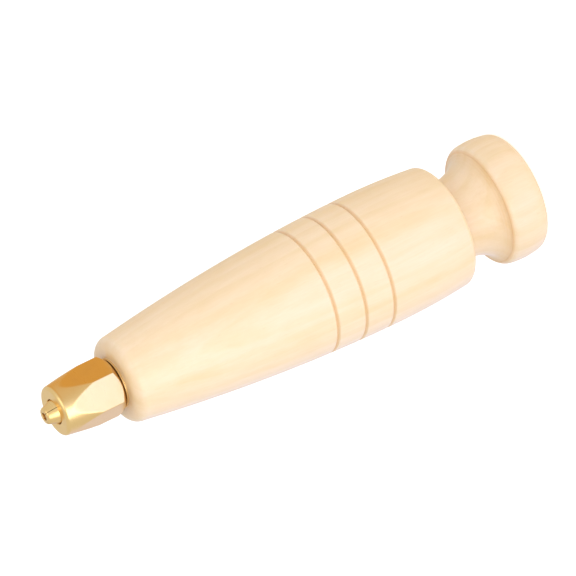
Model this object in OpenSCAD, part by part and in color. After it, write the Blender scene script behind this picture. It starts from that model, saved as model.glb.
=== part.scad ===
// Palm-handled pin vice: a turned wooden handle with a brass collet chuck.
// The tool stands on the flat back of its knob, on z = 0, with its nose up. Its axis is Z,
// and every height is measured from the back of the knob.

/* [Handle] */
// Length of the turned handle, from the back of the knob to its front face
handle_len = 104.3; // [98:0.1:115]
// Diameter of the barrel at its widest
barrel_d = 30; // [28.5:0.1:34]
// Height of the widest part of the barrel
widest_h = 37.4; // [32:0.1:40]
// Diameter that the taper would have at the front face, before the edge is rounded
nose_d = 19.2; // [18:0.1:24]
// Power of the taper: 1 is a straight cone, and 2 is a parabola
taper_power = 1.9; // [1.5:0.05:2.2]
// Radius of the rounded front edge
nose_edge_r = 2.6; // [1.5:0.1:3]
// Height of the barrel's rear shoulder
shoulder_h = 19.4; // [17:0.1:22]
// Diameter of the barrel at the rear shoulder, before the edge is rounded
shoulder_d = 28; // [26:0.1:28.5]
// Radius of the rounded shoulder edge
shoulder_edge_r = 1.5; // [0.8:0.1:2]

/* [Knob] */
// Diameter of the neck where it leaves the shoulder
neck_d = 17.8; // [14:0.1:20]
// Diameter at the crease where the neck's cove meets the knob's rim
crease_d = 26.4; // [25.8:0.1:26.9]
// Height of that crease
crease_h = 9.45; // [7:0.05:11]
// Diameter of the knob
knob_d = 28.6; // [28.2:0.1:29]
// Radius of the knob's front edge
knob_front_r = 2; // [1.8:0.1:2.4]
// Radius of the knob's back edge
knob_back_r = 1.8; // [1:0.1:3]
// Radius of the gentle curve across the knob's rim
rim_curve_r = 18; // [14:0.5:24]

/* [Grooves] */
// Number of turned V grooves
groove_count = 3; // [1:1:4]
// Height of the lowest groove
groove_h = 41.8; // [40:0.1:60]
// Distance from one groove to the next
groove_pitch = 7.2; // [5:0.1:9]
// Depth of a groove
groove_depth = 0.5; // [0.2:0.05:0.8]

/* [Chuck body] */
// Diameter of the stem that is glued into the handle
stem_d = 10; // [9.5:0.1:11]
// Length of the stem inside the handle
stem_len = 20; // [19:0.5:26]
// Diameter of the collar between handle and nut
collar_d = 11.6; // [11.2:0.1:12]
// Thickness of the collar
collar_t = 0.35; // [0.3:0.05:0.4]
// Mean diameter of the thread, which is drawn as a plain cylinder
thread_d = 8.9; // [8.6:0.1:9]
// Length of the male thread
thread_len = 8; // [7:0.1:8.2]

/* [Closing nut] */
// Size across the flats
nut_af = 12; // [11.8:0.1:13]
// Length of the nut
nut_len = 14.4; // [14:0.1:15]
// Gap between the collar and the tightened nut
nut_gap = 0.45; // [0.3:0.05:0.6]
// Length of the rear part that still has sharp corners
corner_len = 5.7; // [5:0.1:8]
// Diameter to which the corners are turned down at the front
nut_front_d = 11.5; // [11.2:0.1:12]
// Radius of the nut's front edge
nut_edge_r = 0.8; // [0.4:0.1:1.2]
// Diameter of the hole in the front of the nut
mouth_d = 5.8; // [5.8:0.1:6.1]
// Angle from +X of one corner of the tightened nut
nut_clocking = 48.2; // [0:0.1:60]

/* [Collet] */
// Length of the nose that stands out of the nut
nose_len = 2.5; // [2:0.1:2.6]
// Outer diameter at the tip
tip_d = 3.6; // [3.4:0.1:3.8]
// Half angle of the closing cone
cone_angle = 18.5; // [18:0.5:19]
// Diameter of the collet's shank
collet_d = 6.8; // [6.6:0.1:7]
// Diameter of the hole that grips a tool
jaw_bore_d = 1.8; // [1:0.1:2.2]
// Length of the gripping hole
jaw_len = 8; // [5:0.5:10]
// Number of jaws
jaw_count = 4; // [2:2:6]
// Width of the slots between the jaws, nearly closed on an empty chuck
slot_w = 0.12; // [0.1:0.02:0.4]
// Angle from +X of the first slot
slot_clocking = 15; // [0:1:90]

/* [Hidden] */
$fn = 96;

// Steps in an arc, and in each part of the barrel's curve
ARC_STEPS = 10;
CURVE_STEPS = 24;
// How far a cutting shape runs past the face that it opens
CUT = 1;

wood = [0.96, 0.88, 0.74];
brass = [0.86, 0.70, 0.36];

// Clearances on radius: sliding fit, thread, closing cone and glue line
SLIDE = 0.05;
THREAD_FIT = 0.05;
CONE_FIT = 0.05;
GLUE = 0.05;

collar_top = handle_len + collar_t;
thread_top = collar_top + thread_len;
nut_rear = collar_top + nut_gap;
nut_front = nut_rear + nut_len;
tip_h = nut_front + nose_len;
stem_bottom = handle_len - stem_len;

// The collet seats on a step inside the chuck body, which has a through hole below it
SEAT_DEPTH = 7;
seat_h = handle_len - SEAT_DEPTH;
THROUGH_D = 3.5;
// Blind hole in the handle under the stem, for long shanks, and the angle of its drill point
PILOT_D = 3.8;
PILOT_DEPTH = 42;
DRILL_POINT = 118;

// Turned rings on the stem that key it into the glue
KEY_COUNT = 6;
KEY_PITCH = 3;
KEY_DEPTH = 0.3;
KEY_W = 1;
STEM_CHAMFER = 0.8;
THREAD_CHAMFER = 0.4;

// Chamfers at the nut's rear corners and round its mouth
NUT_REAR_CHAMFER = 0.95;
MOUTH_CHAMFER = 0.2;

// How far round its curve the knob's rim leans in before the front edge starts
RIM_TURN = 9;

// Relief bore behind the jaws, the collet's tip round and rear chamfer, and the depth of its slots
RELIEF_D = 3.2;
TIP_EDGE_R = 0.6;
COLLET_CHAMFER = 0.4;
SLOT_LEN = 16.7;

// Points [radius, height] along an arc about [r0, h0], where angle 0 points outwards
function arc(r0, h0, radius, from, to) =
    [for (i = [0 : ARC_STEPS])
        let (a = from + (to - from) * i / ARC_STEPS)
        [r0 + radius * cos(a), h0 + radius * sin(a)]];

// A run of points without its two ends, which its neighbours already hold
function inner_points(points) = [for (i = [1 : len(points) - 2]) points[i]];

// Radius of the barrel at a height: a power taper upwards, a shallow parabola downwards
function barrel_radius(h) = h > widest_h
    ? barrel_d / 2 - (barrel_d - nose_d) / 2
        * pow((h - widest_h) / (handle_len - widest_h), taper_power)
    : barrel_d / 2 - (barrel_d - shoulder_d) / 2
        * pow((widest_h - h) / (widest_h - shoulder_h), 2);

function barrel_curve(from, to) =
    [for (i = [0 : CURVE_STEPS])
        let (h = from + (to - from) * i / CURVE_STEPS)
        [barrel_radius(h), h]];

// Quarter ellipse from the crease up to the neck
function cove() =
    [for (i = [0 : CURVE_STEPS])
        let (a = 90 - 90 * i / CURVE_STEPS)
        [neck_d / 2 + (crease_d - neck_d) / 2 * (1 - cos(a)),
         shoulder_h - (shoulder_h - crease_h) * sin(a)]];

nose_arc_h = handle_len - nose_edge_r;
nose_arc_r = barrel_radius(nose_arc_h) - nose_edge_r;
shoulder_arc_h = shoulder_h + shoulder_edge_r;
shoulder_arc_r = barrel_radius(shoulder_arc_h) - shoulder_edge_r;
// The knob's front edge ends part of the way round its arc, at the crease
rim_r0 = knob_d / 2 - rim_curve_r;
rim_arc_r = rim_r0 + (rim_curve_r - knob_front_r) * cos(RIM_TURN);
rim_end = acos((crease_d / 2 - rim_arc_r) / knob_front_r);
rim_arc_h = crease_h - knob_front_r * sin(rim_end);
rim_h0 = rim_arc_h - (rim_curve_r - knob_front_r) * sin(RIM_TURN);
// The rim's curve meets the knob's back edge where the two arcs touch
back_turn = asin((rim_h0 - knob_back_r) / (rim_curve_r - knob_back_r));
back_arc_r = rim_r0 + (rim_curve_r - knob_back_r) * cos(back_turn);

handle_outline = concat(
    [[0, 0]],
    arc(back_arc_r, knob_back_r, knob_back_r, -90, -back_turn),
    inner_points(arc(rim_r0, rim_h0, rim_curve_r, -back_turn, RIM_TURN)),
    arc(rim_arc_r, rim_arc_h, knob_front_r, RIM_TURN, rim_end),
    cove(),
    arc(shoulder_arc_r, shoulder_arc_h, shoulder_edge_r, -90, 0),
    barrel_curve(shoulder_arc_h, widest_h),
    barrel_curve(widest_h, nose_arc_h),
    arc(nose_arc_r, nose_arc_h, nose_edge_r, 0, 90),
    [[0, handle_len]]
);

// A round hole from one height to another
module bore(d, from, to) {
    translate([0, 0, from])
        cylinder(d = d, h = to - from);
}

// Half section of a V groove: a square on its corner, sunk into the barrel's surface
module v_groove(h) {
    translate([barrel_radius(h), h])
        rotate(45)
            square(groove_depth * sqrt(2), center = true);
}

// Turned wooden handle: knob, neck and barrel in one piece, bored blind from the front
module handle() {
    pilot_bottom = handle_len - PILOT_DEPTH;
    point_h = PILOT_D / 2 / tan(DRILL_POINT / 2);
    color(wood)
        difference() {
            rotate_extrude()
                difference() {
                    polygon(handle_outline);
                    for (i = [0 : groove_count - 1])
                        v_groove(groove_h + i * groove_pitch);
                }
            bore(stem_d + 2 * GLUE, stem_bottom - GLUE, handle_len + CUT);
            bore(PILOT_D, pilot_bottom, handle_len);
            translate([0, 0, pilot_bottom - point_h])
                cylinder(d1 = 0, d2 = PILOT_D, h = point_h);
        }
}

// Brass stem, collar and male thread, bored for the collet
module chuck_body() {
    thread_r = thread_d / 2;
    stem_r = stem_d / 2;
    color(brass)
        difference() {
            rotate_extrude()
                difference() {
                    polygon([
                        [0, stem_bottom],
                        [stem_r - STEM_CHAMFER, stem_bottom],
                        [stem_r, stem_bottom + STEM_CHAMFER],
                        [stem_r, handle_len],
                        [collar_d / 2, handle_len],
                        [collar_d / 2, collar_top],
                        [thread_r, collar_top],
                        [thread_r, thread_top - THREAD_CHAMFER],
                        [thread_r - THREAD_CHAMFER, thread_top],
                        [0, thread_top]
                    ]);
                    for (i = [1 : KEY_COUNT])
                        translate([stem_r - KEY_DEPTH, handle_len - i * KEY_PITCH])
                            square([KEY_DEPTH + CUT, KEY_W]);
                }
            bore(collet_d + 2 * SLIDE, seat_h, thread_top + CUT);
            bore(THROUGH_D, stem_bottom - CUT, seat_h + CUT);
        }
}

// Split collet: a closing cone on a plain shank, cut into jaws from the front
module collet() {
    collet_bottom = seat_h + SLIDE;
    cone_len = (collet_d - tip_d) / 2 / tan(cone_angle);
    tip_arc_r = tip_d / 2 + TIP_EDGE_R * tan(cone_angle) - TIP_EDGE_R / cos(cone_angle);
    color(brass)
        difference() {
            rotate_extrude()
                polygon(concat(
                    [[0, collet_bottom],
                     [collet_d / 2 - COLLET_CHAMFER, collet_bottom],
                     [collet_d / 2, collet_bottom + COLLET_CHAMFER],
                     [collet_d / 2, tip_h - cone_len]],
                    arc(tip_arc_r, tip_h - TIP_EDGE_R, TIP_EDGE_R, cone_angle, 90),
                    [[0, tip_h]]
                ));
            bore(jaw_bore_d, tip_h - jaw_len - CUT, tip_h + CUT);
            bore(RELIEF_D, collet_bottom - CUT, tip_h - jaw_len);
            for (i = [0 : jaw_count / 2 - 1])
                rotate([0, 0, slot_clocking + i * 360 / jaw_count])
                    translate([-collet_d, -slot_w / 2, tip_h - SLOT_LEN])
                        cube([2 * collet_d, slot_w, SLOT_LEN + CUT]);
        }
}

// Hexagonal nut: turned-down front corners, a closing cone and a female thread inside
module closing_nut() {
    corner_r = nut_af / 2 / cos(30);
    front_r = nut_front_d / 2;
    mouth_r = mouth_d / 2;
    thread_r = thread_d / 2 + THREAD_FIT;
    seat_top = tip_h - (mouth_r - CONE_FIT - tip_d / 2) / tan(cone_angle);
    seat_bottom = seat_top - (thread_r - mouth_r) / tan(cone_angle);
    color(brass)
        difference() {
            intersection() {
                translate([0, 0, nut_rear])
                    rotate([0, 0, nut_clocking])
                        cylinder(r = corner_r, h = nut_len, $fn = 6);
                rotate_extrude()
                    polygon(concat(
                        [[0, nut_rear],
                         [corner_r - NUT_REAR_CHAMFER, nut_rear],
                         [corner_r, nut_rear + NUT_REAR_CHAMFER],
                         [corner_r, nut_rear + corner_len]],
                        arc(front_r - nut_edge_r, nut_front - nut_edge_r, nut_edge_r, 0, 90),
                        [[0, nut_front]]
                    ));
            }
            rotate_extrude()
                polygon([
                    [0, nut_rear - CUT],
                    [thread_r, nut_rear - CUT],
                    [thread_r, seat_bottom],
                    [mouth_r, seat_top],
                    [mouth_r, nut_front - MOUTH_CHAMFER],
                    [mouth_r + MOUTH_CHAMFER + CUT, nut_front + CUT],
                    [0, nut_front + CUT]
                ]);
        }
}

handle();
chuck_body();
collet();
closing_nut();
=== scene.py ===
"""Looks of a wood-handled pin vice: a turned palm handle with a brass collet chuck.

The tool stands on the back of its knob, nose up, with its axis on Z. Outlines are lists of
(radius, height) points in millimetres, as in the CAD model, and placed() turns them into
metres in the CAD frame.
"""

import math

import bmesh
import bpy
import numpy as np
from mathutils import Matrix, Vector


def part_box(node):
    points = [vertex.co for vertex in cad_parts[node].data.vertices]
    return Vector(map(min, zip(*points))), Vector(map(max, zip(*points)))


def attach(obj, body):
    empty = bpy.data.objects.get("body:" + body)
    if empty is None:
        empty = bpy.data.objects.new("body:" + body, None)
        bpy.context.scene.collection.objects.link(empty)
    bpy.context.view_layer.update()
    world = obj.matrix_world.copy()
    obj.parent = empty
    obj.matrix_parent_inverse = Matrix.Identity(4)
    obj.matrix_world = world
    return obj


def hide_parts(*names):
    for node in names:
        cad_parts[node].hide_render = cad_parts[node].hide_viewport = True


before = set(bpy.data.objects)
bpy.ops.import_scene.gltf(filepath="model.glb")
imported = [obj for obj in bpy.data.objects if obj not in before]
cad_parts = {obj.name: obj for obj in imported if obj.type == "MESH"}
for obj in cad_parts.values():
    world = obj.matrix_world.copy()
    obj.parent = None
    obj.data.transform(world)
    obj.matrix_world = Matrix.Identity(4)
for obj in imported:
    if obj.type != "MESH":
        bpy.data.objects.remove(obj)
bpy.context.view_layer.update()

MM = 0.001
TURN = 2 * math.pi

# ---------------------------------------------------------------- places from the frame
handle_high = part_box("handle")[1]
chuck_low, chuck_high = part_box("chuck_body")
collet_low, collet_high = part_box("collet")
nut_low, nut_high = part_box("closing_nut")

HANDLE_LEN = handle_high.z / MM
BARREL_R = handle_high.x / MM
STEM_BOTTOM = chuck_low.z / MM
THREAD_TOP = chuck_high.z / MM
COLLET_BOTTOM = collet_low.z / MM
TIP_H = collet_high.z / MM
NUT_REAR = nut_low.z / MM
NUT_FRONT = nut_high.z / MM

# ---------------------------------------------------------------- sizes, as in the CAD model
WIDEST_H = 37.4
NOSE_R = 9.6
TAPER_POWER = 1.9
NOSE_EDGE_R = 2.6
SHOULDER_H = 19.4
SHOULDER_R = 14.0
SHOULDER_EDGE_R = 1.5

NECK_R = 8.9
CREASE_R = 13.2
CREASE_H = 9.45
KNOB_R = 14.3
KNOB_FRONT_R = 2.0
KNOB_BACK_R = 1.8
RIM_CURVE_R = 18.0
RIM_TURN = math.radians(9)

GROOVE_COUNT = 3
GROOVE_H = 41.8
GROOVE_PITCH = 7.2
GROOVE_DEPTH = 0.5

STEM_R = 5.0
STEM_CHAMFER = 0.8
COLLAR_R = 5.8
COLLAR_T = 0.35
KEY_COUNT = 6
KEY_PITCH = 3.0
KEY_DEPTH = 0.3
KEY_W = 1.0
THROUGH_R = 1.75
SEAT_DEPTH = 7.0
PILOT_R = 1.9
PILOT_DEPTH = 42.0
PILOT_POINT = math.radians(59)
SLIDE = 0.05
GLUE = 0.05

APOTHEM = 6.0
CORNER_R = APOTHEM / math.cos(math.radians(30))
CORNER_LEN = 5.7
NUT_FRONT_R = 5.75
NUT_EDGE_R = 0.8
NUT_REAR_CHAMFER = 0.95
NUT_CLOCKING = math.radians(48.2)
MOUTH_R = 2.9
MOUTH_CHAMFER = 0.2

COLLET_R = 3.4
COLLET_CHAMFER = 0.4
TIP_R = 1.8
TIP_EDGE_R = 0.6
CONE_ANGLE = math.radians(18.5)
CONE_FIT = 0.05
JAW_COUNT = 4
JAW_BORE_R = 0.9
JAW_LEN = 8.0
RELIEF_R = 1.6
SLOT_W = 0.12
SLOT_LEN = 16.7
SLOT_CLOCKING = math.radians(15)

# The CAD thread is a plain cylinder at the mean diameter. Here it is cut as a real helix.
PITCH = 1.0
THREAD_ROOT_R = 4.2
THREAD_CREST_R = 4.68
THREAD_PLAY = 0.07
# The crest and the root are flats, and the flanks take up the rest of the pitch
THREAD_ROOT_FLAT = 0.12
THREAD_FLANK = 0.7
THREAD_RUNOUT = 0.9
THREAD_LEAD_IN = 0.55

COLLAR_TOP = HANDLE_LEN + COLLAR_T
# Points or radii closer than this are taken as one
SAME = 1e-5


# ---------------------------------------------------------------- mesh building
def placed(radius, height, angle):
    """Place in metres of a point, its angle counted from +X towards +Y."""
    return np.stack([
        radius * MM * np.cos(angle),
        radius * MM * np.sin(angle),
        height * MM * np.ones_like(angle),
    ], axis=-1)


def arc(r0, h0, radius, start, end, steps=12):
    """Points along an arc about (r0, h0), its angles in degrees: 0 is outwards and 90 is up."""
    angles = np.radians(np.linspace(start, end, steps + 1))
    return [(r0 + radius * math.cos(a), h0 + radius * math.sin(a)) for a in angles]


def line(start, end, steps):
    """Points along a straight line, with both ends."""
    return [tuple(p) for p in np.linspace(start, end, steps + 1)]


def without_repeats(outline):
    """The outline with each point that repeats the one before it left out."""
    keep = [outline[0]]
    for point in outline[1:]:
        if math.dist(point, keep[-1]) > SAME:
            keep.append(point)
    return keep


def ring_faces(low, high, segments):
    """Faces between two rings of vertices, with triangles where a ring is one point."""
    faces = []
    for j in range(segments):
        k = (j + 1) % segments
        corners = []
        for v in (low[j], low[k], high[k], high[j]):
            if v not in corners:
                corners.append(v)
        if len(corners) > 2:
            faces.append(corners)
    return faces


def turned(name, outline, segments, shape=None):
    """A closed solid of revolution. shape(radii, heights, angles) gives new radii."""
    keep = without_repeats(outline)
    closed = math.dist(keep[0], keep[-1]) < SAME
    if closed:
        keep.pop()
    radii = np.array([p[0] for p in keep])
    heights = np.array([p[1] for p in keep])
    angles = np.linspace(0, TURN, segments, endpoint=False)
    grid_r, grid_a = np.meshgrid(radii, angles, indexing="ij")
    grid_h = np.meshgrid(heights, angles, indexing="ij")[0]
    if shape is not None:
        grid_r = shape(grid_r, grid_h, grid_a)
    points = placed(grid_r, grid_h, grid_a)
    verts, faces, rings = [], [], []
    for i, radius in enumerate(radii):
        if radius < SAME:
            rings.append([len(verts)] * segments)
            verts.append(tuple(points[i, 0]))
        else:
            rings.append(list(range(len(verts), len(verts) + segments)))
            verts.extend(map(tuple, points[i]))
    pairs = list(zip(rings, rings[1:]))
    if closed:
        pairs.append((rings[-1], rings[0]))
    for low, high in pairs:
        faces.extend(ring_faces(low, high, segments))
    mesh = bpy.data.meshes.new(name)
    mesh.from_pydata(verts, [], faces)
    solid = bmesh.new()
    solid.from_mesh(mesh)
    bmesh.ops.recalc_face_normals(solid, faces=solid.faces)
    solid.to_mesh(mesh)
    solid.free()
    piece = bpy.data.objects.new(name, mesh)
    bpy.context.scene.collection.objects.link(piece)
    return piece


def soften(piece, sharp_angle):
    """Smooth shading, with an edge left sharp where its faces turn more than that angle."""
    piece.data.shade_smooth()
    piece.data.set_sharp_from_angle(angle=math.radians(sharp_angle))


def smooth_min(a, b, blend):
    """The smaller of two values, rounded over where they cross."""
    mix = np.clip(0.5 + (b - a) / (2 * blend), 0, 1)
    return b + (a - b) * mix - blend * mix * (1 - mix)


def finish_piece(piece, body, node, material):
    piece.data.materials.append(material)
    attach(piece, body)
    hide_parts(node)


# ---------------------------------------------------------------- handle
BARREL_STEP = 0.8
# The walls of a V groove stand at 45 degrees. Its points are close together within its reach
GROOVE_HALF_W = GROOVE_DEPTH
GROOVE_REACH = 0.9
GROOVE_POINTS = 25
LIP_ROUND = 0.02
BOTTOM_ROUND = 0.002
# Fine rings that the tool left in the cove, deeper towards the crease
RING_PITCH = 0.55
RING_DEPTH = 0.03
RINGS_FROM = 0.25


def barrel_radius(h):
    """Power taper above the widest height, shallow parabola below it."""
    if h > WIDEST_H:
        part = (h - WIDEST_H) / (HANDLE_LEN - WIDEST_H)
        return BARREL_R - (BARREL_R - NOSE_R) * part ** TAPER_POWER
    part = (WIDEST_H - h) / (WIDEST_H - SHOULDER_H)
    return BARREL_R - (BARREL_R - SHOULDER_R) * part ** 2


def groove_heights():
    return [GROOVE_H + i * GROOVE_PITCH for i in range(GROOVE_COUNT)]


def groove_sink(h):
    """How deep the V grooves are at a height, with a small round at the lips and the bottom."""
    sink = 0.0
    for middle in groove_heights():
        off = abs(h - middle) / GROOVE_HALF_W
        wall = GROOVE_DEPTH * (1 - math.sqrt(off ** 2 + LIP_ROUND))
        rounded = (wall + math.sqrt(wall ** 2 + BOTTOM_ROUND)) / 2
        if abs(h - middle) < GROOVE_REACH:
            sink = max(sink, rounded - BOTTOM_ROUND)
    return sink


def barrel_points(top, bottom):
    """Points down the barrel, close together in the grooves."""
    heights = list(np.arange(top, bottom, -BARREL_STEP)) + [bottom]
    for middle in groove_heights():
        heights = [h for h in heights if abs(h - middle) > GROOVE_REACH]
        heights += list(np.linspace(middle - GROOVE_REACH, middle + GROOVE_REACH, GROOVE_POINTS))
    return [(barrel_radius(h) - groove_sink(h), h) for h in sorted(heights, reverse=True)]


def cove_points(steps=132):
    """Quarter ellipse from the neck down to the crease, with the tool's rings near the crease."""
    points = []
    for a in np.linspace(0, math.pi / 2, steps + 1):
        out = 1 - math.cos(a)
        r = NECK_R + (CREASE_R - NECK_R) * out
        h = SHOULDER_H - (SHOULDER_H - CREASE_H) * math.sin(a)
        ring = RING_DEPTH * math.sin(TURN * r / RING_PITCH) * max(0.0, out - RINGS_FROM)
        points.append((r, h - ring))
    return points


def make_handle():
    nose_h0 = HANDLE_LEN - NOSE_EDGE_R
    nose_r0 = barrel_radius(nose_h0) - NOSE_EDGE_R
    edge_h0 = SHOULDER_H + SHOULDER_EDGE_R
    edge_r0 = barrel_radius(edge_h0) - SHOULDER_EDGE_R
    rim_r0 = KNOB_R - RIM_CURVE_R
    front_r0 = rim_r0 + (RIM_CURVE_R - KNOB_FRONT_R) * math.cos(RIM_TURN)
    front_end = math.acos((CREASE_R - front_r0) / KNOB_FRONT_R)
    front_h0 = CREASE_H - KNOB_FRONT_R * math.sin(front_end)
    rim_h0 = front_h0 - (RIM_CURVE_R - KNOB_FRONT_R) * math.sin(RIM_TURN)
    back_turn = math.asin((rim_h0 - KNOB_BACK_R) / (RIM_CURVE_R - KNOB_BACK_R))
    back_r0 = rim_r0 + (RIM_CURVE_R - KNOB_BACK_R) * math.cos(back_turn)
    lean_front = math.degrees(RIM_TURN)
    lean_back = math.degrees(back_turn)
    bore_r = STEM_R + GLUE
    bore_bottom = STEM_BOTTOM - GLUE
    pilot_bottom = HANDLE_LEN - PILOT_DEPTH

    outline = line((bore_r, HANDLE_LEN), (nose_r0, HANDLE_LEN), 6)
    outline += arc(nose_r0, nose_h0, NOSE_EDGE_R, 90, 0, 16)
    outline += barrel_points(nose_h0, edge_h0)
    outline += arc(edge_r0, edge_h0, SHOULDER_EDGE_R, 0, -90, 14)
    outline += line((edge_r0, SHOULDER_H), (NECK_R, SHOULDER_H), 8)
    outline += cove_points()
    outline += arc(front_r0, front_h0, KNOB_FRONT_R, math.degrees(front_end), lean_front, 14)
    outline += arc(rim_r0, rim_h0, RIM_CURVE_R, lean_front, -lean_back, 16)
    outline += arc(back_r0, KNOB_BACK_R, KNOB_BACK_R, -lean_back, -90, 16)
    outline += line((back_r0, 0), (0, 0), 12)
    outline += [(0, pilot_bottom - PILOT_R / math.tan(PILOT_POINT)), (PILOT_R, pilot_bottom)]
    outline += [(PILOT_R, bore_bottom), (bore_r, bore_bottom), (bore_r, HANDLE_LEN)]
    piece = turned("handle_wood", outline, 224)
    mark_burn(piece)
    soften(piece, 50)
    return piece


def mark_burn(piece):
    """Marks each vertex with how far it lies in a groove or at the crease; the wood is coloured darker
    there.
    """
    crease_reach, crease_width, crease_burn = 0.25, 0.35, 0.45
    full_burn = 0.8 * GROOVE_DEPTH
    marks = piece.data.attributes.new("burn", "FLOAT", "POINT")
    values = []
    for v in piece.data.vertices:
        h = v.co.z / MM
        r = math.hypot(v.co.x, v.co.y) / MM
        mark = 0.0
        if SHOULDER_H < h < HANDLE_LEN - NOSE_EDGE_R and r > NECK_R:
            mark = min(1.0, groove_sink(h) / full_burn)
        if abs(h - CREASE_H) < crease_reach and abs(r - CREASE_R) < crease_width:
            mark = crease_burn
        values.append(mark)
    marks.data.foreach_set("value", values)


# ---------------------------------------------------------------- chuck
def thread_wave(h, angle):
    """0 at the root and 1 at the crest of a right-hand thread."""
    turn = (h / PITCH - angle / TURN) % 1.0
    wave = 1 - np.abs(2 * turn - 1)
    return np.clip((wave - THREAD_ROOT_FLAT) / THREAD_FLANK, 0, 1)


def thread_radius(h, angle, height=1.0):
    return THREAD_ROOT_R + (THREAD_CREST_R - THREAD_ROOT_R) * thread_wave(h, angle) * height


def make_chuck_body():
    bore_r = COLLET_R + SLIDE
    collar_edge = 0.1
    thinnest_wall = 0.2
    step = 0.02
    seat_h = HANDLE_LEN - SEAT_DEPTH

    def shape(r, h, a):
        on_thread = (r > THREAD_ROOT_R - step / 2) & (h > COLLAR_TOP + step / 2)
        runout = np.clip((h - COLLAR_TOP - THREAD_RUNOUT) / (PITCH / 2), 0, 1)
        lead_in = THREAD_CREST_R - THREAD_LEAD_IN + (THREAD_TOP - h)
        cut = np.minimum(thread_radius(h, a, runout), np.maximum(lead_in, bore_r + thinnest_wall))
        return np.where(on_thread, cut, r)

    outline = [(bore_r, THREAD_TOP), (THREAD_ROOT_R, THREAD_TOP)]
    outline += line((THREAD_ROOT_R, THREAD_TOP - step), (THREAD_ROOT_R, COLLAR_TOP + step), 96)
    outline += [(THREAD_ROOT_R - step, COLLAR_TOP), (COLLAR_R - collar_edge, COLLAR_TOP)]
    outline += arc(COLLAR_R - collar_edge, COLLAR_TOP - collar_edge, collar_edge, 90, 0, 4)
    outline += [(COLLAR_R, HANDLE_LEN), (STEM_R, HANDLE_LEN)]
    for i in range(1, KEY_COUNT + 1):
        key_h = HANDLE_LEN - i * KEY_PITCH
        bottom_r = STEM_R - KEY_DEPTH
        outline += [(STEM_R, key_h + KEY_W), (bottom_r, key_h + KEY_W - step)]
        outline += [(bottom_r, key_h + step), (STEM_R, key_h)]
    outline += [(STEM_R, STEM_BOTTOM + STEM_CHAMFER), (STEM_R - STEM_CHAMFER, STEM_BOTTOM)]
    outline += [(THROUGH_R, STEM_BOTTOM), (THROUGH_R, seat_h), (bore_r, seat_h)]
    outline += [(bore_r, THREAD_TOP)]
    piece = turned("chuck_body_brass", outline, 144, shape)
    soften(piece, 35)
    return piece


def make_nut():
    edge_r0 = NUT_FRONT_R - NUT_EDGE_R
    edge_h0 = NUT_FRONT - NUT_EDGE_R
    corner_top = NUT_REAR + CORNER_LEN
    chamfer_top = NUT_REAR + NUT_REAR_CHAMFER
    thread_r = THREAD_CREST_R + THREAD_PLAY
    seat_top = TIP_H - (MOUTH_R - CONE_FIT - TIP_R) / math.tan(CONE_ANGLE)
    seat_bottom = seat_top - (thread_r - MOUTH_R) / math.tan(CONE_ANGLE)
    thread_relief = 0.3
    thread_top = seat_bottom - thread_relief
    mouth_h0 = NUT_FRONT - MOUTH_CHAMFER
    face_margin = 0.1
    corner_round = 0.09
    lead_in = 0.45
    step = 0.01
    sixth = TURN / 6

    def shape(r, h, a):
        off = (a - NUT_CLOCKING) % sixth - sixth / 2
        outside = smooth_min(APOTHEM / np.cos(off), r, corner_round)
        mouth = thread_r + lead_in - (h - NUT_REAR)
        inside = np.maximum(thread_radius(h, a) + THREAD_PLAY, mouth)
        threaded = (np.abs(r - thread_r) < SAME) & (h < thread_top)
        return np.where(r > edge_r0 - step, outside, np.where(threaded, inside, r))

    outline = arc(MOUTH_R + MOUTH_CHAMFER, mouth_h0, MOUTH_CHAMFER, 180, 90, 6)
    outline += line((MOUTH_R + MOUTH_CHAMFER, NUT_FRONT), (edge_r0 - face_margin, NUT_FRONT), 8)
    outline += arc(edge_r0, edge_h0, NUT_EDGE_R, 90, 0, 26)
    outline += line((NUT_FRONT_R, edge_h0), (CORNER_R, corner_top), 34)
    outline += line((CORNER_R, corner_top), (CORNER_R, chamfer_top), 26)
    outline += line((CORNER_R, chamfer_top), (CORNER_R - NUT_REAR_CHAMFER, NUT_REAR), 12)
    outline += line((CORNER_R - NUT_REAR_CHAMFER, NUT_REAR), (thread_r + lead_in, NUT_REAR), 3)
    outline += line((thread_r, NUT_REAR + step), (thread_r, thread_top), 90)
    outline += line((thread_r, seat_bottom), (MOUTH_R, seat_top), 9)
    outline += line((MOUTH_R, seat_top), (MOUTH_R, mouth_h0), 4)
    piece = turned("closing_nut_brass", outline, 432, shape)
    soften(piece, 60)
    return piece


def make_collet():
    edge = 0.14
    tip_arc_r = (TIP_R + TIP_EDGE_R * math.tan(CONE_ANGLE)
                 - TIP_EDGE_R / math.cos(CONE_ANGLE))
    cone_bottom = TIP_H - (COLLET_R - TIP_R) / math.tan(CONE_ANGLE)
    relief_top = TIP_H - JAW_LEN
    edge_h0 = TIP_H - edge
    chamfer_top = COLLET_BOTTOM + COLLET_CHAMFER
    outline = [(JAW_BORE_R, edge_h0)]
    outline += arc(JAW_BORE_R + edge, edge_h0, edge, 180, 90, 5)
    outline += arc(tip_arc_r, TIP_H - TIP_EDGE_R, TIP_EDGE_R, 90, math.degrees(CONE_ANGLE), 10)
    outline += line((TIP_R + TIP_EDGE_R * math.tan(CONE_ANGLE), TIP_H - TIP_EDGE_R),
                    (COLLET_R, cone_bottom), 12)
    outline += line((COLLET_R, cone_bottom), (COLLET_R, chamfer_top), 12)
    outline += [(COLLET_R - COLLET_CHAMFER, COLLET_BOTTOM), (RELIEF_R, COLLET_BOTTOM)]
    outline += [(RELIEF_R, relief_top), (JAW_BORE_R, relief_top), (JAW_BORE_R, edge_h0)]
    piece = turned("collet_brass", outline, 128)
    for i in range(JAW_COUNT // 2):
        cut_slot(piece, SLOT_CLOCKING + i * TURN / JAW_COUNT)
    soften(piece, 35)
    return piece


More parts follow.
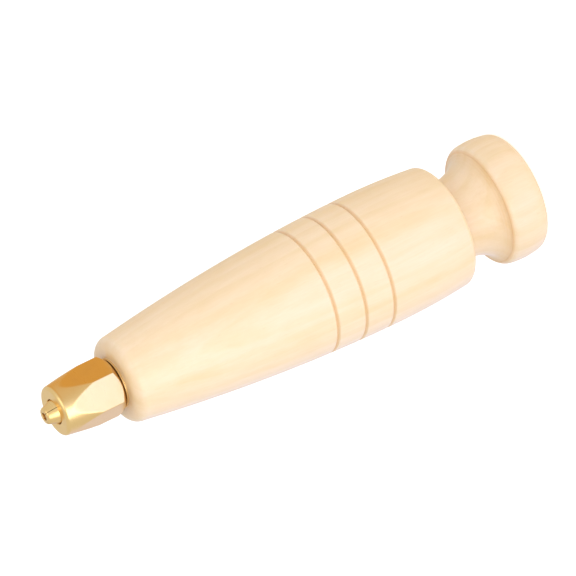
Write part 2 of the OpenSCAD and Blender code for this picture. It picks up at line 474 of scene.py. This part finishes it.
def cut_slot(piece, angle):
    """Saws one slot right across the front of a piece, at an angle from +X."""
    past = 2
    bottom = TIP_H - SLOT_LEN
    size = Vector((4 * COLLET_R, SLOT_W, SLOT_LEN + past)) * MM
    middle = Matrix.Translation((0, 0, (bottom + (SLOT_LEN + past) / 2) * MM))
    blade_mesh = bpy.data.meshes.new("saw")
    blade = bmesh.new()
    bmesh.ops.create_cube(blade, size=1, matrix=middle @ Matrix.Rotation(angle, 4, "Z")
                          @ Matrix.Diagonal((*size, 1)))
    blade.to_mesh(blade_mesh)
    blade.free()
    saw = bpy.data.objects.new("saw", blade_mesh)
    bpy.context.scene.collection.objects.link(saw)
    cut = piece.modifiers.new("slot", "BOOLEAN")
    cut.operation = "DIFFERENCE"
    cut.solver = "EXACT"
    cut.object = saw
    bpy.context.view_layer.update()
    seen = piece.evaluated_get(bpy.context.evaluated_depsgraph_get())
    sawn = bpy.data.meshes.new_from_object(seen)
    piece.modifiers.clear()
    piece.data = sawn
    bpy.data.objects.remove(saw)


# ---------------------------------------------------------------- materials
class Shader:
    """A material's node tree, with one short call per node."""

    def __init__(self, name):
        self.material = bpy.data.materials.new(name)
        self.material.use_nodes = True
        self.tree = self.material.node_tree
        self.surface = self.tree.nodes["Principled BSDF"]

    def feed(self, socket, value):
        if isinstance(value, bpy.types.NodeSocket):
            self.tree.links.new(value, socket)
        elif value is not None:
            socket.default_value = value

    def place(self):
        """Object coordinates, in metres in the CAD frame."""
        return self.tree.nodes.new("ShaderNodeTexCoord").outputs["Object"]

    def facing(self):
        """The surface's direction, in the CAD frame."""
        return self.split(self.tree.nodes.new("ShaderNodeTexCoord").outputs["Normal"])

    def split(self, vector):
        node = self.tree.nodes.new("ShaderNodeSeparateXYZ")
        self.feed(node.inputs[0], vector)
        return node.outputs

    def scaled(self, vector, scale, offset=(0, 0, 0)):
        node = self.tree.nodes.new("ShaderNodeMapping")
        self.feed(node.inputs["Vector"], vector)
        node.inputs["Scale"].default_value = scale
        node.inputs["Location"].default_value = offset
        return node.outputs[0]

    def math(self, operation, a, b=None):
        node = self.tree.nodes.new("ShaderNodeMath")
        node.operation = operation
        self.feed(node.inputs[0], a)
        self.feed(node.inputs[1], b)
        return node.outputs[0]

    def noise(self, vector, detail=3.0, roughness=0.55, distortion=0.0):
        node = self.tree.nodes.new("ShaderNodeTexNoise")
        self.feed(node.inputs["Vector"], vector)
        node.inputs["Scale"].default_value = 1.0
        node.inputs["Detail"].default_value = detail
        node.inputs["Roughness"].default_value = roughness
        node.inputs["Distortion"].default_value = distortion
        return node.outputs["Fac"]

    def remap(self, value, low, high):
        """0 below low and 1 above high, with a smooth step between. high may be the smaller."""
        node = self.tree.nodes.new("ShaderNodeMapRange")
        node.interpolation_type = "SMOOTHSTEP"
        self.feed(node.inputs["Value"], value)
        node.inputs["From Min"].default_value = low
        node.inputs["From Max"].default_value = high
        return node.outputs[0]

    def tinted(self, amount, share, base, tint):
        """base, moved towards tint by share of amount."""
        node = self.tree.nodes.new("ShaderNodeMix")
        node.data_type = "RGBA"
        self.feed(node.inputs[0], self.math("MULTIPLY", amount, share))
        self.feed(node.inputs[6], base)
        self.feed(node.inputs[7], tint)
        return node.outputs[2]

    def attribute(self, name):
        node = self.tree.nodes.new("ShaderNodeAttribute")
        node.attribute_name = name
        return node.outputs["Fac"]

    def bump(self, height, distance):
        node = self.tree.nodes.new("ShaderNodeBump")
        node.inputs["Distance"].default_value = distance
        self.feed(node.inputs["Height"], height)
        self.feed(self.surface.inputs["Normal"], node.outputs[0])


class Studio(Shader):
    """The world's node tree, with the same short calls."""

    def __init__(self, name):
        self.world = bpy.data.worlds.new(name)
        self.world.use_nodes = True
        self.tree = self.world.node_tree
        self.surface = self.tree.nodes["Background"]


def rgb(red, green, blue):
    return (red, green, blue, 1.0)


def wood_material():
    """Pale close-grained wood, grain along Z, under a satin lacquer."""
    sapwood = rgb(0.82, 0.64, 0.44)
    late_wood = rgb(0.75, 0.56, 0.295)
    streak_wood = rgb(0.75, 0.555, 0.285)
    pale_figure = rgb(0.87, 0.70, 0.53)
    dark_fibre = rgb(0.72, 0.47, 0.25)
    dark_fleck = rgb(0.62, 0.38, 0.18)
    soaked_end = rgb(0.80, 0.50, 0.20)
    burnt = rgb(0.66, 0.34, 0.10)
    m = Shader("turned_wood")
    here = m.place()
    x, y, z = m.split(here)
    # growth rings: nearly flat sheets, because the pith lies well outside the handle
    pith_y = 0.048
    rings_per_metre = 300
    ring_sway = 2.6
    sway = m.noise(m.scaled(here, (60, 60, 9)), 2.0, 0.5)
    to_pith = m.math("ADD", y, pith_y)
    squares = m.math("ADD", m.math("MULTIPLY", x, x), m.math("MULTIPLY", to_pith, to_pith))
    ring_at = m.math("ADD", m.math("MULTIPLY", m.math("SQRT", squares), rings_per_metre),
                     m.math("MULTIPLY", sway, ring_sway))
    ring = m.math("FRACT", ring_at)
    late = m.math("MULTIPLY", m.remap(ring, 0.35, 0.88), m.remap(ring, 1.0, 0.9))
    streaks = m.remap(m.noise(m.scaled(here, (420, 420, 28), (3, 1, 7)), 4.0, 0.6), 0.35, 0.7)
    fibres = m.noise(m.scaled(here, (2600, 2600, 110)), 3.0, 0.65)
    figure = m.remap(m.noise(m.scaled(here, (170, 170, 90), (5, 5, 2)), 3.0, 0.55, 0.4), 0.3, 0.72)
    flecks = m.remap(m.noise(m.scaled(here, (5200, 5200, 500), (1, 8, 4)), 1.0, 0.4), 0.66, 0.78)
    # cut-across fibres on the ends drink more lacquer and look darker
    end_grain = m.remap(m.math("ABSOLUTE", m.facing()[2]), 0.35, 1.0)
    colour = m.tinted(late, 0.38, sapwood, late_wood)
    colour = m.tinted(streaks, 0.44, colour, streak_wood)
    colour = m.tinted(figure, 0.30, colour, pale_figure)
    colour = m.tinted(m.remap(fibres, 0.3, 0.7), 0.14, colour, dark_fibre)
    colour = m.tinted(flecks, 0.16, colour, dark_fleck)
    colour = m.tinted(end_grain, 0.30, colour, soaked_end)
    colour = m.tinted(m.attribute("burn"), 0.50, colour, burnt)
    m.feed(m.surface.inputs["Base Color"], colour)
    smoothest, fibre_roughness = 0.36, 0.14
    rough = m.math("ADD", m.math("MULTIPLY", fibres, fibre_roughness), smoothest)
    m.feed(m.surface.inputs["Roughness"], rough)
    m.surface.inputs["Specular IOR Level"].default_value = 0.45
    m.surface.inputs["Coat Weight"].default_value = 0.8
    m.surface.inputs["Coat Roughness"].default_value = 0.34
    m.surface.inputs["Coat IOR"].default_value = 1.45
    m.surface.inputs["Subsurface Weight"].default_value = 0.06
    m.surface.inputs["Subsurface Radius"].default_value = (0.9, 0.5, 0.25)
    m.surface.inputs["Subsurface Scale"].default_value = 0.001
    turning_pitch = 0.00032
    fibre_relief, mark_relief, relief_depth = 0.8, 0.12, 0.00002
    marks = m.math("SINE", m.math("MULTIPLY", z, TURN / turning_pitch))
    height = m.math("ADD", m.math("MULTIPLY", fibres, fibre_relief),
                    m.math("MULTIPLY", marks, mark_relief))
    m.bump(height, relief_depth)
    return m.material


def brass_material(name, polish, tint):
    """Machined brass: fine rings round the axis and a little tarnish. polish is its roughness
    where it is smoothest."""
    tarnished = rgb(0.78, 0.50, 0.20)
    brushed_roughness, tarnish_roughness, relief_depth = 0.10, 0.05, 0.000006
    m = Shader(name)
    here = m.place()
    tarnish = m.remap(m.noise(m.scaled(here, (260, 260, 260)), 4.0, 0.6), 0.4, 0.75)
    brushed = m.noise(m.scaled(here, (260, 260, 9000), (2, 6, 1)), 2.0, 0.5)
    m.feed(m.surface.inputs["Base Color"], m.tinted(tarnish, 0.25, tint, tarnished))
    m.surface.inputs["Metallic"].default_value = 1.0
    rough = m.math("ADD", m.math("MULTIPLY", brushed, brushed_roughness), polish)
    rough = m.math("ADD", rough, m.math("MULTIPLY", tarnish, tarnish_roughness))
    m.feed(m.surface.inputs["Roughness"], rough)
    m.bump(brushed, relief_depth)
    return m.material


polished = brass_material("polished_brass", 0.24, rgb(0.91, 0.64, 0.27))
machined = brass_material("machined_brass", 0.30, rgb(0.85, 0.58, 0.24))
wood = wood_material()

finish_piece(make_handle(), "holder", "handle", wood)
finish_piece(make_chuck_body(), "holder", "chuck_body", machined)
finish_piece(make_collet(), "collet", "collet", polished)
finish_piece(make_nut(), "nut", "closing_nut", polished)


# ---------------------------------------------------------------- stage, light and camera
def make_floor():
    """A pale floor under the tool, many times its length across and hidden from reflections."""
    size = 40 * HANDLE_LEN * MM
    mesh = bpy.data.meshes.new("floor")
    mesh.from_pydata([(-size, -size, 0), (size, -size, 0), (size, size, 0), (-size, size, 0)], [],
                     [(0, 1, 2, 3)])
    floor = bpy.data.objects.new("floor", mesh)
    bpy.context.scene.collection.objects.link(floor)
    m = Shader("pale_floor")
    m.surface.inputs["Base Color"].default_value = rgb(0.86, 0.86, 0.86)
    m.surface.inputs["Roughness"].default_value = 0.9
    m.surface.inputs["Specular IOR Level"].default_value = 0.0
    m.surface.inputs["Emission Color"].default_value = rgb(1, 1, 1)
    m.surface.inputs["Emission Strength"].default_value = 0.5
    floor.data.materials.append(m.material)
    floor.visible_glossy = False


def softbox(name, place, target, width, height, power):
    """A rectangular area light, turned to face a target."""
    light = bpy.data.lights.new(name, "AREA")
    light.shape = "RECTANGLE"
    light.size = width
    light.size_y = height
    light.energy = power
    lamp = bpy.data.objects.new(name, light)
    lamp.location = place
    lamp.rotation_euler = (Vector(place) - Vector(target)).to_track_quat("Z", "Y").to_euler()
    bpy.context.scene.collection.objects.link(lamp)


def make_world():
    """A pale studio. Below the horizon, where only reflections see it, it has a bright card
    towards the front, amber walls towards +X and a cool card towards the back."""
    wall, amber_wall = rgb(0.92, 0.92, 0.93), rgb(0.86, 0.52, 0.16)
    cool_card, bright_card = rgb(0.77, 0.76, 0.99), rgb(0.43, 0.52, 1.0)
    wall_glow, cool_gain, card_gain = 0.85, 0.25, 1.5
    card_x, card_y, card_z = -0.40, -0.83, -0.38
    m = Studio("studio")
    way = m.tree.nodes.new("ShaderNodeTexCoord").outputs["Generated"]
    x, y, z = m.split(way)
    low = m.remap(z, -0.02, -0.22)
    amber = m.math("MULTIPLY", low, m.remap(x, 0.0, 0.8))
    to_card = m.math("ADD", m.math("ADD", m.math("MULTIPLY", x, card_x), m.math("MULTIPLY", y, card_y)),
                     m.math("MULTIPLY", z, card_z))
    card = m.math("MULTIPLY", low, m.remap(to_card, 0.72, 0.98))
    behind = m.math("MULTIPLY", m.remap(x, 0.1, -0.3), m.remap(y, 0.15, 0.6))
    cool = m.math("MULTIPLY", low, behind)
    walls = m.tinted(amber, 1.0, wall, amber_wall)
    walls = m.tinted(cool, 1.0, walls, cool_card)
    m.feed(m.surface.inputs["Color"], m.tinted(card, 1.0, walls, bright_card))
    glow = m.math("ADD", m.math("MULTIPLY", card, card_gain), m.math("MULTIPLY", cool, cool_gain))
    m.feed(m.surface.inputs["Strength"], m.math("ADD", glow, wall_glow))
    bpy.context.scene.world = m.world


def make_light():
    nut_middle = (0, 0, (nut_low.z + nut_high.z) / 2)
    softbox("key", place=(-0.16, -0.26, 0.14), target=nut_middle,
            width=0.22, height=0.19, power=0.30)
    softbox("fill", place=(0.3, -0.6, 0.9), target=nut_middle,
            width=0.8, height=0.8, power=2.1)
    bpy.context.scene.view_settings.view_transform = "Standard"
    bpy.context.scene.view_settings.look = "None"


def make_camera():
    """A long lens, lifted and rolled so that the nose points down and to the left."""
    lift = math.radians(22.4)
    roll = math.radians(-115.7)
    aim = Vector((0.0022, 0, 0.0586))
    away = 1.385
    data = bpy.data.cameras.new("camera")
    data.lens = 400.0
    data.sensor_width = 36.0
    camera = bpy.data.objects.new("camera", data)
    back = Vector((0, -math.cos(lift), math.sin(lift)))
    upright = back.to_track_quat("Z", "Y").to_matrix()
    camera.matrix_world = (Matrix.Translation(aim + back * away)
                           @ (Matrix.Rotation(roll, 3, back) @ upright).to_4x4())
    bpy.context.scene.collection.objects.link(camera)
    bpy.context.scene.camera = camera


make_floor()
make_world()
make_light()
make_camera()
